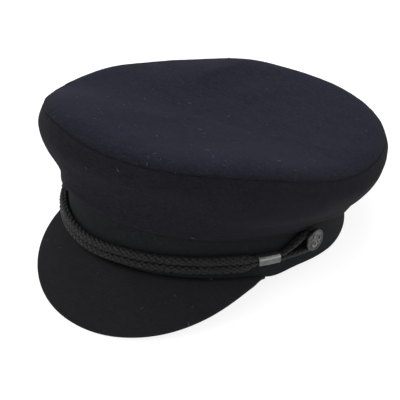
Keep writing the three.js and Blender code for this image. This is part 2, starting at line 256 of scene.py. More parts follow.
def build_wool_surface():
    group, entry, leave = new_group("wool_surface", "ShaderNodeTree", {
        "Colour": "Color", "Fibre colour": "Color", "Fibres": "Float", "Nap": "Float",
        "Painted shade": "Float", "Painted shade colour": "Color",
    }, surface_outputs)
    place = add_node(group, "ShaderNodeTexCoord")
    maths = maths_in(group)

    def cloud(scale, detail, roughness, stretch=(1, 1, 1), turn=(0, 0, 0), distortion=0):
        mapping = add_node(group, "ShaderNodeMapping", {"Scale": stretch, "Rotation": turn})
        join(group, place, "Object", mapping, "Vector")
        texture = add_node(group, "ShaderNodeTexNoise", {
            "Scale": scale, "Detail": detail, "Roughness": roughness, "Distortion": distortion,
        })
        join(group, mapping, "Vector", texture, "Vector")
        return texture.outputs["Fac"]

    def hair_lines(scale, turn, sharpness):
        field = cloud(scale, 1, 0.5, (0.16, 1, 1), turn, 1.4)
        centred = maths("SUBTRACT", maths("MULTIPLY", field, 2), 1)
        return maths("POWER", maths("SUBTRACT", 1, maths("ABSOLUTE", centred)), sharpness)

    grain = cloud(1100, 4, 0.7)
    patches = cloud(42, 3, 0.55, distortion=0.8)
    broad = cloud(9, 2, 0.5)
    hairs = maths("MAXIMUM", hair_lines(700, (0.3, 0.5, 0.4), 22), hair_lines(620, (1.2, 0.2, 1.7), 22))
    hairs = maths("MAXIMUM", hairs, hair_lines(660, (0.7, 1.4, 2.8), 22))
    stray = maths("MULTIPLY", hairs, entry.outputs["Fibres"])

    nap_wear_and_ridge_highlight = maths("MULTIPLY", maths("SUBTRACT", maths("ADD", patches, broad), 1), entry.outputs["Nap"])
    fine = maths("MULTIPLY", maths("SUBTRACT", grain, 0.5), 0.8)
    shade = maths("ADD", 1, maths("ADD", nap_wear_and_ridge_highlight, fine))
    # Painted shade: the wool colour is mixed towards a darker, greyer colour as far as the painted-shade
    # input asks.
    painted_shade_mix = add_node(group, "ShaderNodeMix", data_type="RGBA")
    group.links.new(entry.outputs["Painted shade"], painted_shade_mix.inputs["Factor"])
    group.links.new(entry.outputs["Colour"], painted_shade_mix.inputs[6])
    group.links.new(entry.outputs["Painted shade colour"], painted_shade_mix.inputs[7])
    tone = add_node(group, "ShaderNodeMix", data_type="RGBA", blend_type="MULTIPLY")
    tone.inputs["Factor"].default_value = 1
    group.links.new(painted_shade_mix.outputs[2], tone.inputs[6])
    group.links.new(shade, tone.inputs[7])
    lint = add_node(group, "ShaderNodeMix", data_type="RGBA")
    group.links.new(stray, lint.inputs["Factor"])
    group.links.new(tone.outputs[2], lint.inputs[6])
    group.links.new(entry.outputs["Fibre colour"], lint.inputs[7])
    group.links.new(lint.outputs[2], leave.inputs["Colour"])
    group.links.new(maths("ADD", 0.84, maths("MULTIPLY", grain, 0.2)), leave.inputs["Roughness"])
    relief = maths("ADD", maths("MULTIPLY", grain, 0.7), maths("MULTIPLY", hairs, 0.5))
    bump = add_node(group, "ShaderNodeBump", {"Strength": 0.55, "Distance": 0.0003})
    group.links.new(relief, bump.inputs["Height"])
    join(group, bump, "Normal", leave, "Normal")
    return group


wool_surface = build_wool_surface()


def wool_material(name, colour, fibre_colour, fibres, nap, sheen):
    material, tree, shader = new_material(name)
    cloth = add_node(tree, "ShaderNodeGroup", node_tree=wool_surface)
    cloth.inputs["Colour"].default_value = (*colour, 1)
    cloth.inputs["Fibre colour"].default_value = (*fibre_colour, 1)
    cloth.inputs["Fibres"].default_value = fibres
    cloth.inputs["Nap"].default_value = nap
    # Painted shade: a darker, greyer wool colour, mixed in where the mesh's painted-shade attribute is
    # set; only the top sets it.
    cloth.inputs["Painted shade colour"].default_value = (0.0062, 0.0064, 0.0083, 1)
    painted_shade = add_node(tree, "ShaderNodeAttribute", attribute_name="painted_shade")
    join(tree, painted_shade, "Fac", cloth, "Painted shade")
    join(tree, cloth, "Colour", shader, "Base Color")
    join(tree, cloth, "Roughness", shader, "Roughness")
    join(tree, cloth, "Normal", shader, "Normal")
    shader.inputs["Specular IOR Level"].default_value = 0.06
    shader.inputs["Sheen Weight"].default_value = sheen
    shader.inputs["Sheen Roughness"].default_value = 0.5
    shader.inputs["Sheen Tint"].default_value = (0.7, 0.72, 0.95, 1)
    return material


band_section = []
for start, middle in ((0, -band_round), (90, band_round - band_wall)):
    for turn in np.radians(np.linspace(start, start + 90, 5)):
        up = band_height + band_round * (math.sin(turn) - 1)
        band_section.append((middle + band_round * math.cos(turn), up))
band_inside = [(-band_wall, up) for up in np.linspace(band_height - band_edge_height, band_edge_height, 8)]
band_under = [(out, band_height - up) for out, up in reversed(band_section)]
band_outside = [(0, up) for up in np.linspace(band_edge_height, band_height - band_edge_height, 14)]
band_loops = []
for out, up in band_section + band_inside + band_under + band_outside:
    share = up / band_height
    edge, top = edge_at(ring_angles), lift_at(ring_angles) + band_height
    loop = band_point(ring_angles, out, edge + (top - edge) * share)
    turned_edge = turned_edge_depth * bell((up - turned_edge_up) / turned_edge_width) * (out > -0.1)
    wave = soft_noise(loop, band_wave_size, 1) * band_wave_height - turned_edge
    band_loops.append(loop + band_normal(ring_angles) * wave[:, None])
band_cloth = wool_material("band_cloth", (0.0076, 0.0082, 0.0092), (0.05, 0.05, 0.05), 0.2, 0.3, 0.006)
add_piece(
    "band_cover", np.concatenate(band_loops),
    [face[::-1] for face in grid_faces(len(band_loops), ring_count, True)],
    band_cloth, ["band"],
)


# ---- Side of the crown
# A wide soft bag of felted navy wool that hangs over the band and folds back under itself.
# A front and a back half are joined by an upright seam on each side of the head.
cloth_wall = 1.6
seam_half_width = 111.6
seam_front = 107
seam_back = 135.9
seam_front_height = 111
seam_back_height = 50.5
seam_back_point = 1.033
seam_shifts = [
    {"angle": 48, "wide": 27, "up": 5, "out": 0},
    {"angle": -34, "wide": 22, "up": 4.6, "out": 0},
    {"angle": -72, "wide": 20, "up": -1.2, "out": -3},
]
hem_drop = 1
fold_turn = 2.4
clearance = 0.35
side_sections = [
    {"angle": 0, "fold_up": 34.5, "fold_out": 4.6, "low_up": 43, "low_out": 4.4,
     "mid_up": 56, "mid_out": 3.4, "bulge_up": 69, "bulge_out": 4.6},
    {"angle": 30, "fold_up": 32.1, "fold_out": 4.6, "low_up": 43, "low_out": 4.6,
     "mid_up": 55, "mid_out": 7.2, "bulge_up": 70, "bulge_out": 11.9},
    {"angle": 60, "fold_up": 29.7, "fold_out": 4.8, "low_up": 40, "low_out": 6.5,
     "mid_up": 51, "mid_out": 17.1, "bulge_up": 67, "bulge_out": 20.4},
    {"angle": 90, "fold_up": 26, "fold_out": 4.8, "low_up": 35, "low_out": 9.5,
     "mid_up": 45, "mid_out": 19, "bulge_up": 58, "bulge_out": 27},
    {"angle": 120, "fold_up": 14.3, "fold_out": 4.6, "low_up": 25, "low_out": 9.7,
     "mid_up": 37, "mid_out": 20.5, "bulge_up": 53.2, "bulge_out": 27},
    {"angle": 150, "fold_up": 11, "fold_out": 4.6, "low_up": 20, "low_out": 11.2,
     "mid_up": 31, "mid_out": 21.7, "bulge_up": 44, "bulge_out": 30.9},
    {"angle": 180, "fold_up": 10, "fold_out": 4.6, "low_up": 18, "low_out": 12,
     "mid_up": 29, "mid_out": 23.5, "bulge_up": 42, "bulge_out": 32.5},
]
fold_lifts = [{"angle": -22, "wide": 15, "height": 4}]
side_folds = [
    {"angle": 62, "share": 0.56, "wide": 26, "tall": 0.09, "height": 1.8},
    {"angle": 64, "share": 0.42, "wide": 30, "tall": 0.09, "height": -1.6},
    {"angle": -22, "share": 0.5, "wide": 14, "tall": 0.1, "height": 0.8},
    {"angle": -10, "share": 0.66, "wide": 16, "tall": 0.1, "height": -1.6},
    {"angle": 205, "share": 0.55, "wide": 18, "tall": 0.14, "height": -2},
]
side_fold_start = 0.42
side_fold_fade = 0.1
side_stretches = [
    {"end": 1, "rows": 4}, {"end": 3.4, "rows": 21}, {"end": 6.3, "rows": 29},
    {"end": 6.85, "rows": 8}, {"end": 7, "rows": 6},
]
side_spans = 7
side_wrinkles = [{"size": 34, "height": 0.8, "seed": 2}, {"size": 13, "height": 0.3, "seed": 3}]
wrinkle_start = 2.2
wrinkle_fade = 9
upright_seams = [92, 268]
upright_start = 2
upright_radius = 108
upright_groove = 0.4
upright_groove_width = 0.8
upright_ridge = 0.12
upright_ridge_width = 2
upright_allowance = 3.2
seam_groove = 0.75
seam_groove_width = 0.8
seam_turn_reach = 2.5
pucker_height = 0.42
pucker_reach = 5.5
pucker_gap = 0.8
pucker_ring = 100
pucker_length = 7
small_pucker_length = 3.4
small_pucker_share = 0.6
top_start_share = 0.98
top_start_rise = 2.9
inner_row_step = 3


def smooth(share):
    held = np.clip(share, 0, 1)
    return held * held * (3 - 2 * held)


def section_value(column, angle):
    rows = np.array([section[column] for section in side_sections])
    turned = turn_between(angle, 0) / 30
    row = np.minimum(np.floor(turned).astype(int), len(rows) - 2)
    u = turned - row
    mirrored = np.concatenate([rows[1:2], rows, rows[-2:-1]])
    a, b, c, d = (mirrored[row + step] for step in range(4))
    return b + 0.5 * u * (c - a + u * (2 * a - 5 * b + 4 * c - d + u * (3 * (b - c) + d - a)))


def seam_point(angle):
    turn = np.radians(angle)
    back = np.maximum(0, -np.cos(turn)) ** seam_back_point
    height = seam_back_height + (seam_front_height - seam_back_height) * (1 + np.cos(turn)) / 2
    length = seam_back * back - seam_front * np.maximum(0, np.cos(turn))
    width = seam_half_width * np.sin(turn)
    for shift in seam_shifts:
        near = bell(turn_between(angle, shift["angle"]) / shift["wide"])
        height = height + shift["up"] * near
        width = width + shift["out"] * near * np.sin(turn)
        length = length - shift["out"] * near * np.cos(turn)
    return np.stack([width, length, height], -1)


def smooth_line(marks, shares):
    before = 2 * marks[0] - marks[1]
    after = 2 * marks[-1] - marks[-2]
    marks = np.concatenate([before[None], marks, after[None]])
    rows = []
    for share in shares:
        place = share * (len(marks) - 3)
        row = min(int(place), len(marks) - 4)
        u = place - row
        a, b, c, d = marks[row:row + 4]
        first, middle, last = (
            np.sqrt(np.linalg.norm(q - p, axis=-1, keepdims=True)) for p, q in ((a, b), (b, c), (c, d))
        )
        leave = ((b - a) / first - (c - a) / (first + middle) + (c - b) / middle) * middle
        arrive = ((c - b) / middle - (d - b) / (middle + last) + (d - c) / last) * middle
        bend = 3 * (c - b) - 2 * leave - arrive
        twist = 2 * (b - c) + leave + arrive
        rows.append(b + u * (leave + u * (bend + u * twist)))
    return np.array(rows)


def side_marks(angle):
    lift = lift_at(angle)
    fold = section_value("fold_up", angle)
    for raised in fold_lifts:
        fold = fold + raised["height"] * bell(turn_between(angle, raised["angle"]) / raised["wide"])
    out = section_value("fold_out", angle)
    return np.array([
        band_point(angle, clearance, lift + band_height - hem_drop),
        band_point(angle, clearance, lift + fold + fold_turn + 1),
        band_point(angle, (clearance + out) / 2, lift + fold),
        band_point(angle, out, lift + fold + fold_turn),
        band_point(angle, section_value("low_out", angle), lift + section_value("low_up", angle)),
        band_point(angle, section_value("mid_out", angle), lift + section_value("mid_up", angle)),
        band_point(angle, section_value("bulge_out", angle), lift + section_value("bulge_up", angle)),
        seam_point(angle),
    ])


def surface_normals(rows):
    along = np.gradient(rows, axis=0)
    around = np.roll(rows, -1, axis=1) - np.roll(rows, 1, axis=1)
    across = np.cross(around, along)
    return across / np.maximum(np.linalg.norm(across, axis=-1, keepdims=True), 1e-9)


def ring_row(share, rise):
    ring = top_centre + (seam_point(ring_angles) - top_centre) * share
    ring[:, 2] += rise
    return ring


def seam_puckers(angle, distance, seed):
    turn = np.radians(angle)
    ring = np.stack([np.cos(turn), np.sin(turn), np.full_like(angle, seed)], -1) * pucker_ring
    ripple = soft_noise(ring, pucker_length, seed)
    ripple = ripple + small_pucker_share * soft_noise(ring, small_pucker_length, seed + 1)
    return pucker_height * ripple * np.exp(-distance / pucker_reach) * (1 - np.exp(-distance / pucker_gap))


def wrinkle_rise(points, wrinkles):
    return sum(soft_noise(points, row["size"], row["seed"]) * row["height"] for row in wrinkles)


def towards_seam(normal, distance):
    turned = normal + (seam_normal - normal) * np.exp(-distance / seam_turn_reach)[:, None]
    return turned / np.linalg.norm(turned, axis=-1, keepdims=True)


def walled(outer):
    inner = (outer - surface_normals(outer) * cloth_wall)[::-1][::inner_row_step]
    return np.concatenate([outer, inner])


def row_places(stretches):
    places, start = [], 0
    for stretch in stretches:
        places.append(np.linspace(start, stretch["end"], stretch["rows"] + 1)[:-1])
        start = stretch["end"]
    return np.concatenate([*places, [start]])


side_shares = row_places(side_stretches) / side_spans
top_centre = np.array([0, 0, (seam_back_height + seam_front_height) / 2])
side_outer = smooth_line(side_marks(ring_angles), side_shares)
side_normal = surface_normals(side_outer)
top_start = np.array([ring_row(1, 0), ring_row(top_start_share, top_start_rise)])
seam_normal = side_normal[-1] + surface_normals(top_start)[0]
seam_normal /= np.linalg.norm(seam_normal, axis=-1, keepdims=True)
to_seam = np.linalg.norm(side_outer - side_outer[-1], axis=-1)
for row, share in enumerate(side_shares):
    push = np.zeros(ring_count)
    for fold in side_folds:
        near = bell(turn_between(ring_angles, fold["angle"]) / fold["wide"])
        near = near * bell((share - fold["share"]) / fold["tall"])
        push = push + fold["height"] * near * smooth((share - side_fold_start) / side_fold_fade + 1)
    side_outer[row] += band_normal(ring_angles) * push[:, None]
    fine = wrinkle_rise(side_outer[row], side_wrinkles) * smooth(share * side_spans - wrinkle_start)
    if share * side_spans > upright_start:
        for seam in upright_seams:
            aside = (ring_angles - seam) * math.radians(1) * upright_radius
            fine = fine - upright_groove * bell(aside / upright_groove_width)
            fine = fine + upright_ridge * bell((np.abs(aside) - upright_allowance) / upright_ridge_width)
        fine = fine * smooth(to_seam[row] / wrinkle_fade)
        fine = fine + seam_puckers(ring_angles, to_seam[row], 4)
        fine = fine - seam_groove * bell(to_seam[row] / seam_groove_width)
    side_outer[row] += towards_seam(side_normal[row], to_seam[row]) * fine[:, None]
side_loops = walled(side_outer)
# Painted shade: the side is the same wool as the top but is given a darker, greyer colour.
side_cloth = wool_material("side_cloth", (0.0075, 0.007, 0.0096), (0.05, 0.05, 0.06), 0.2, 0.35, 0.008)
side = add_piece(
    "crown_side_cloth", side_loops.reshape(-1, 3), grid_faces(len(side_loops), ring_count, True),
    side_cloth, ["crown_side"],
)


# ---- Top of the crown
# One oval piece of the same wool, sewn to the side all round with its edges turned inside.
# It rounds over at the seam, lies nearly flat and has a few soft folds.
top_rings = [
    {"share": 1, "rise": 0}, {"share": 0.988, "rise": 2.2}, {"share": 0.962, "rise": 4.5},
    {"share": 0.925, "rise": 6.3}, {"share": 0.86, "rise": 7.4}, {"share": 0.74, "rise": 7.9},
    {"share": 0.56, "rise": 7.3}, {"share": 0.34, "rise": 6.4}, {"share": 0, "rise": 5.9},
]
top_humps = [
    {"x": -26, "y": 112, "wide": 30, "long": 26, "height": 2.7},
    {"x": -44, "y": 64, "wide": 22, "long": 38, "height": 4.9},
    {"x": -84, "y": 52, "wide": 28, "long": 32, "height": -0.7},
    {"x": -4, "y": 68, "wide": 9, "long": 24, "height": 1.4},
    {"x": 92, "y": 68, "wide": 34, "long": 54, "height": -0.7},
    {"x": -100, "y": -14, "wide": 26, "long": 26, "height": -2.6},
]
top_creases = [
    {"start": (-39, 40), "end": (-41, 98), "wide": 4.5, "height": 0.7},
    {"start": (6, 52), "end": (0, 80), "wide": 4, "height": 0.6},
    {"start": (-58, -48), "end": (-8, -74), "wide": 3.2, "height": 0.45},
    {"start": (-34, -70), "end": (14, -84), "wide": 2.8, "height": 0.4},
    {"start": (-72, -20), "end": (-50, -44), "wide": 3.4, "height": 0.4},
]
crease_sway = 2
crease_bends = 2
hump_fade = 6
top_stretches = [{"end": 0.6, "rows": 5}, {"end": 5, "rows": 23}, {"end": 8, "rows": 33}]
top_spans = 8
top_wrinkles = [{"size": 46, "height": 0.9, "seed": 5}, {"size": 17, "height": 0.22, "seed": 6}]
# Painted shade on the top: its colour darkens within a few millimetres of the seam, where it rounds over,
# and gradually towards the back.
rim_shade_width = 5.6
back_shade_strength = 0.2
back_shade_start = -60
back_shade_over = 110


def crease_rise(points, crease):
    start, end = np.array(crease["start"]), np.array(crease["end"])
    along = (end - start) / np.linalg.norm(end - start)
    offset = points[..., :2] - (start + end) / 2
    lengthwise = offset @ along / (np.linalg.norm(end - start) / 2)
    aside = offset @ np.array([-along[1], along[0]])
    aside = aside + crease_sway * np.sin(lengthwise * crease_bends)
    return crease["height"] * bell(lengthwise) * bell(aside / crease["wide"])


def tipped_faces(rows, columns):
    faces = grid_faces(rows, columns, False)
    first_tip, last = rows * columns, (rows - 1) * columns
    for column in range(columns):
        other = (column + 1) % columns
        faces.append((first_tip, other, column))
        faces.append((first_tip + 1, last + column, last + other))
    return faces


def store_share(mesh, name, values):
    attribute = mesh.attributes.new(name, "FLOAT", "POINT")
    attribute.data.foreach_set("value", np.asarray(values, np.float32))


ring_marks = np.array([[[ring["share"] * 100, ring["rise"]]] for ring in top_rings])
ring_shares = row_places(top_stretches)[:-1] / top_spans
ring_line = smooth_line(ring_marks, ring_shares)[:, 0]
top_outer = np.array([ring_row(hundredths / 100, rise) for hundredths, rise in ring_line])
top_normal = surface_normals(top_outer)
to_seam = np.linalg.norm(top_outer - top_outer[0], axis=-1)
for row in range(len(top_outer)):
    ring = top_outer[row]
    for hump in top_humps:
        near = bell((ring[:, 0] - hump["x"]) / hump["wide"])
        near = near * bell((ring[:, 1] - hump["y"]) / hump["long"])
        ring[:, 2] += hump["height"] * near * smooth(to_seam[row] / hump_fade)
    for crease in top_creases:
        ring[:, 2] += crease_rise(ring, crease) * smooth(to_seam[row] / hump_fade)
    fine = wrinkle_rise(ring, top_wrinkles) * smooth(to_seam[row] / wrinkle_fade)
    fine = fine + seam_puckers(ring_angles, to_seam[row], 7)
    fine = fine - seam_groove * bell(to_seam[row] / seam_groove_width)
    top_outer[row] += towards_seam(top_normal[row], to_seam[row]) * fine[:, None]
top_middle = top_outer[-1].mean(axis=0)
top_loops = walled(top_outer)
inner_first = top_loops[len(top_outer)].mean(axis=0)
outer_count = len(top_outer)
shell = np.concatenate([top_loops[outer_count:], top_loops[:outer_count]])
top_points = np.concatenate([shell.reshape(-1, 3), [inner_first, top_middle]])
# Painted light: the top is given a lighter and bluer colour than the side, though it is the same wool.
top_cloth = wool_material("top_cloth", (0.0109, 0.011, 0.0216), (0.07, 0.07, 0.09), 0.2, 0.35, 0.008)
top = add_piece(
    "crown_top_cloth", top_points, tipped_faces(len(shell), ring_count),
    top_cloth, ["crown_top"],
)
# Painted shade: how far the top's colour is darkened, near the seam and towards the back; the inside rows
# get none.
inner_rows = np.zeros((len(shell) - outer_count, ring_count))
rim_shade_share = np.exp(-to_seam / rim_shade_width)
back_shade_share = back_shade_strength * smooth((top_outer[..., 1] - back_shade_start) / back_shade_over)
painted_shade_rows = np.concatenate([inner_rows, np.maximum(rim_shade_share, back_shade_share)])
store_share(top.data, "painted_shade", [*painted_shade_rows.ravel(), 0, 0])


# ---- Peak
# A curved stiff board covered above and below with the same wool, sewn under the band.
# It slopes down from the front of the band and narrows to nothing on both sides.
peak_width = 44.6
peak_half_angle = 63.6
peak_left_reach = 4.5
peak_left_rise = 3
peak_drop = 3
peak_end = 0.985
peak_thickness = 3.2
peak_centre_slope = 40.6
peak_corner_slope = 18.7
peak_width_bend = 2.02
peak_tip_bend = 0.69
peak_arch = 1
peak_allowance = 0.8
peak_tuck_start = 0.87
peak_tuck_reach = 0.11
peak_tuck_rise = 1.2
peak_tuck_depth = 1.5
peak_steps = 260
peak_wave_size = 30
peak_wave_height = 0.25


def peak_loop(u):
    angle = np.array(u * peak_half_angle - peak_left_reach * max(0, -u) ** 6)
    width = peak_width * (1 - abs(u) ** peak_width_bend) ** (1 / peak_tip_bend)
    slope = math.radians(peak_centre_slope + (peak_corner_slope - peak_centre_slope) * u * u)
    tuck = smooth((abs(u) - peak_tuck_start) / peak_tuck_reach)
    lift = edge_at(angle) + tuck * peak_tuck_rise + peak_left_rise * max(0, -u) ** 4

    def along(share, up):
        reach = width * share
        up = up + peak_arch * math.sin(math.pi * min(share, 1)) * min(1, width / peak_width * 2)
        out = clearance + reach * math.cos(slope) + up * math.sin(slope) - tuck * peak_tuck_depth
        return band_point(angle, out, lift - peak_drop - reach * math.sin(slope) + up * math.cos(slope))

    half = peak_thickness / 2
    edge = 1 - min(0.3, half / width)
    shares = np.linspace(0, 1, 26)[1:] * edge
    rim = [
        (edge + (1 - edge) * math.sin(turn), half - half * math.cos(turn))
        for turn in np.radians(np.linspace(0, 180, 12))[1:-1]
    ]
    sewn = lift - peak_drop
    return [
        band_point(angle, -peak_allowance - tuck, sewn),
        *(along(share, 0) for share in shares),
        *(along(share, up) for share, up in rim),
        *(along(share, peak_thickness) for share in shares[::-1]),
        band_point(angle, -peak_allowance - tuck, sewn + peak_thickness / math.cos(slope)),
    ]


peak_shares = np.sin(np.linspace(0.5, -0.5, peak_steps + 1) * math.pi) * peak_end
peak_loops = np.array([peak_loop(share) for share in peak_shares])
loop_count = peak_loops.shape[1]
peak_tips = [peak_loops[0].mean(axis=0), peak_loops[-1].mean(axis=0)]
peak_points = np.concatenate([peak_loops.reshape(-1, 3), peak_tips])
peak_points[:, 2] += soft_noise(peak_points, peak_wave_size, 8) * peak_wave_height
# Painted light: the peak is given a lighter colour than the side, though it is the same wool.
peak_cloth = wool_material("peak_cloth", (0.0114, 0.0112, 0.0126), (0.04, 0.042, 0.042), 0.2, 0.4, 0.006)
peak = add_piece(
    "peak_cover", peak_points, tipped_faces(len(peak_loops), loop_count),
    peak_cloth, ["peak"],
)


# ---- Lint
# Pale lint and loose wool ends cling to the nap, most on the front of the top and at its seam.
# Each is a short curled fibre that lies nearly flat on the cloth.
lint_density = 5200
lint_length = 0.0021
lint_thickness = 0.045
lint_shortest = 0.35
lint_longest = 1.5
lint_tip = 0.35
lint_seed = 4
lint_on_top = 0.25
lint_on_side = 0.18
lint_on_peak = 0.3
lint_front = {"x": -10, "y": -70, "wide": 60}
lint_seam = {"angle": -20, "wide": 55, "reach": 1.2, "share": 4}


def lint_tree():
    tree, entry, leave = new_group("lint", "GeometryNodeTree", {
        "Geometry": "Geometry", "Density": "Float", "Length": "Float", "Thickness": "Float",
        "Seed": "Int", "Material": "Material",
    }, {"Geometry": "Geometry"})
    share = add_node(tree, "GeometryNodeInputNamedAttribute", {"Name": "lint"}, data_type="FLOAT")
    density = add_node(tree, "ShaderNodeMath", operation="MULTIPLY")
    join(tree, entry, "Density", density, 0)
    join(tree, share, "Attribute", density, 1)
    spread = add_node(tree, "GeometryNodeDistributePointsOnFaces", distribute_method="RANDOM")
    join(tree, entry, "Geometry", spread, "Mesh")
    join(tree, density, "Value", spread, "Density")
    join(tree, entry, "Seed", spread, "Seed")
    turn = add_node(tree, "FunctionNodeRandomValue", data_type="FLOAT_VECTOR")
    turn.inputs["Min"].default_value = (-lint_tip, -lint_tip, 0)
    turn.inputs["Max"].default_value = (lint_tip, lint_tip, 2 * math.pi)
    join(tree, entry, "Seed", turn, "Seed")
    lie = add_node(tree, "FunctionNodeRotateRotation", rotation_space="LOCAL")
    join(tree, spread, "Rotation", lie, "Rotation")
    tree.links.new(turn.outputs["Value"], lie.inputs["Rotate By"])
    longer = add_node(tree, "FunctionNodeRandomValue", data_type="FLOAT")
    longer.inputs[2].default_value = lint_shortest
    longer.inputs[3].default_value = lint_longest
    join(tree, entry, "Seed", longer, "Seed")
    length = add_node(tree, "ShaderNodeMath", operation="MULTIPLY")
    tree.links.new(longer.outputs[1], length.inputs[0])
    join(tree, entry, "Length", length, 1)
    curl = add_node(tree, "GeometryNodeCurveQuadraticBezier", {
        "Resolution": 5, "Start": (-0.5, 0, 0.02), "Middle": (0.05, 0.45, 0.22), "End": (0.5, -0.05, 0.05),
    })
    section = add_node(tree, "GeometryNodeCurvePrimitiveCircle", {"Resolution": 4})
    join(tree, entry, "Thickness", section, "Radius")
    fibre = add_node(tree, "GeometryNodeCurveToMesh", {"Fill Caps": True})
    join(tree, curl, "Curve", fibre, "Curve")
    join(tree, section, "Curve", fibre, "Profile Curve")
    copies = add_node(tree, "GeometryNodeInstanceOnPoints")
    join(tree, spread, "Points", copies, "Points")
    join(tree, fibre, "Mesh", copies, "Instance")
    join(tree, lie, "Rotation", copies, "Rotation")
    join(tree, length, "Value", copies, "Scale")
    real = add_node(tree, "GeometryNodeRealizeInstances")
    join(tree, copies, "Instances", real, "Geometry")
    coloured = add_node(tree, "GeometryNodeSetMaterial")
    join(tree, real, "Geometry", coloured, "Geometry")
    join(tree, entry, "Material", coloured, "Material")
    join(tree, coloured, "Geometry", leave, "Geometry")
    return tree


def grown(start, tree, values, name):
    source = bpy.data.objects.new(name + "_start", start)
    scene.collection.objects.link(source)
    modifier = source.modifiers.new("nodes", "NODES")
    modifier.node_group = tree
    for item in tree.interface.items_tree:
        if item.item_type == "SOCKET" and item.in_out == "INPUT" and item.name in values:
            modifier[item.identifier] = values[item.name]
    seen = source.evaluated_get(bpy.context.evaluated_depsgraph_get())
    mesh = bpy.data.meshes.new_from_object(seen)
    bpy.data.objects.remove(source)
    mesh.name = name
    mesh.shade_smooth()
    return mesh


lint_fibre, fibre_tree, fibre_shader = new_material("lint_fibre")
fibre_place = add_node(fibre_tree, "ShaderNodeTexCoord")
fibre_cloud = add_node(fibre_tree, "ShaderNodeTexNoise", {"Scale": 300, "Detail": 2})
fibre_tint = two_tones(fibre_tree, fibre_cloud, {0.35: (0.015, 0.015, 0.02), 0.7: (0.12, 0.12, 0.13)})
join(fibre_tree, fibre_place, "Object", fibre_cloud, "Vector")
join(fibre_tree, fibre_tint, "Color", fibre_shader, "Base Color")
fibre_shader.inputs["Roughness"].default_value = 0.85
lint_fibres = lint_tree()
front_away = np.hypot(top_outer[..., 0] - lint_front["x"], top_outer[..., 1] - lint_front["y"])
front_share = bell(front_away / lint_front["wide"])
seam_share = np.exp(-to_seam / lint_seam["reach"])
seam_share = seam_share * bell(turn_between(ring_angles, lint_seam["angle"]) / lint_seam["wide"])
top_share = np.concatenate([inner_rows, lint_on_top + front_share + lint_seam["share"] * seam_share])
side_rows = np.arange(len(side_loops)) < len(side_outer)
side_share = np.where(side_rows, lint_on_side, 0)[:, None] + np.zeros(ring_count)
upper_points = np.arange(loop_count) > loop_count // 2
peak_share = np.where(upper_points, lint_on_peak, 0) + np.zeros((len(peak_loops), 1))
for cloth, shares, slot in (
    (top, [*top_share.ravel(), 0, 0], "top_cloth"),
    (side, side_share.ravel(), "side_cloth"),
    (peak, [*peak_share.ravel(), 0, 0], "peak_cloth"),
):
    start = cloth.data.copy()
    store_share(start, "lint", shares)
    name = cloth.name + "_lint"
    lint = grown(start, lint_fibres, {
        "Density": lint_density, "Length": lint_length, "Thickness": lint_thickness,
        "Seed": lint_seed, "Material": lint_fibre,
    }, name)
    place_piece(name, lint)


# ---- Cord
# One closed braided cord of dark grey yarn that lies double across the front of the band.
# It goes through a metal slider near each end and round the shank of each side button.
cord_diameter = 5.2
loop_up = 19.4
loop_radius = 5.9
loop_height = 4.2
squeezed_height = 2.5
squeezed_depth = 4.2
squeeze_before = 6
squeeze_length = 5.5
loop_flattening = 0.95
slider_angle = 62.2
slider_half_angle = 4.4
slider_up = 14
slider_wall = 0.6
button_angle = 81.6
strand_heights = [
    {"angle": -57, "lower": 9.7, "upper": 15.3}, {"angle": -45, "lower": 9.1, "upper": 14.7},
    {"angle": -35, "lower": 8.1, "upper": 13.7}, {"angle": -25, "lower": 6.4, "upper": 12},
    {"angle": -15, "lower": 5.5, "upper": 11.1}, {"angle": -5, "lower": 6.1, "upper": 11.8},
    {"angle": 5, "lower": 7.2, "upper": 13.1}, {"angle": 15, "lower": 8, "upper": 14},
    {"angle": 25, "lower": 8.5, "upper": 14.7}, {"angle": 40, "lower": 9.2, "upper": 15.5},
    {"angle": 50, "lower": 9.6, "upper": 15.8}, {"angle": 57, "lower": 10.3, "upper": 15.9},
]
strand_steps = 180
loop_steps = 12
braid_yarns = 5
braid_turns = 26.0
braid_points = 1600
yarn_width = 0.00116
yarn_depth = 0.00038
yarn_weave = 0.00034
core_inset = 0.6
core_sides = 16


def mix(first, second, share):
    return first + (second - first) * share


def strand_station(angle, sign):
    marks = [row["angle"] for row in strand_heights]
    heights = [row["upper" if sign > 0 else "lower"] for row in strand_heights]
    slider_start = slider_angle - slider_half_angle
    slider_end = slider_angle + slider_half_angle
    far = abs(angle)
    squeeze = smooth((far - slider_start + squeeze_before) / squeeze_length)
    spread = smooth((far - slider_end) / (button_angle - slider_end))
    held_up = slider_up + sign * (squeezed_height + clearance) / 2
    pinched = mix(np.interp(angle, marks, heights), held_up, squeeze)
    pinch_out = clearance + slider_wall + clearance + squeezed_depth / 2
    pinch_deep = mix(cord_diameter, squeezed_depth, squeeze)
    return {
        "angle": angle,
        "up": mix(pinched, loop_up + sign * loop_radius, spread),
        "out": mix(clearance + cord_diameter / 2, pinch_out, squeeze),
        "tall": mix(mix(cord_diameter, squeezed_height, squeeze), loop_height, spread),
        "deep": mix(pinch_deep, cord_diameter * loop_flattening, smooth(spread * 2)),
    }


def loop_stations(side):
    stations = []
    for turn in (np.arange(loop_steps) + 0.5) / loop_steps * math.pi:
        reach = loop_radius * math.sin(turn) / (band_half_length * math.radians(1))
        station = strand_station(side * button_angle, 1)
        station["angle"] = side * (button_angle + reach)
        station["up"] = loop_up + side * loop_radius * math.cos(turn)
        stations.append(station)
    return stations


